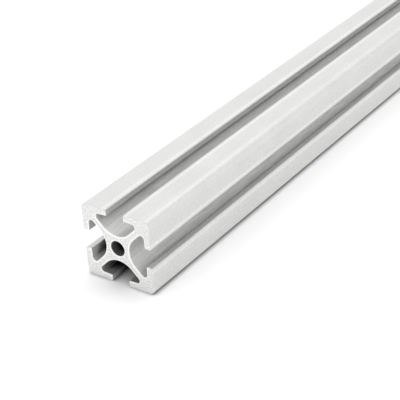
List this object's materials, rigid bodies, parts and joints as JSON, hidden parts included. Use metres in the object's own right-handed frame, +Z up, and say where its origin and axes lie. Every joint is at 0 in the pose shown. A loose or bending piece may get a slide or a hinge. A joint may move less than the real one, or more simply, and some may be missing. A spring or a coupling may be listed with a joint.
{
  "type": "aluminium extrusion profile",
  "caption": "Square bar of extruded aluminium with a T-shaped slot along every face, diagonal webs, rounded slot floors and a round central bore, sawn square at both ends.",
  "frame": {"origin": "on the ground under the middle of the bar, which lies on one of its four like faces", "axes": "+Y along the bar, away from the sawn end in the picture; +X across it, towards the face on the right of that end; +Z up"},
  "size_m": [0.0254, 0.3048, 0.0254],
  "materials": {
    "anodised_aluminium": "satin"
  },
  "bodies": {
    "root": {"t_slot_bar": "anodised_aluminium"}
  },
  "joints": []
}
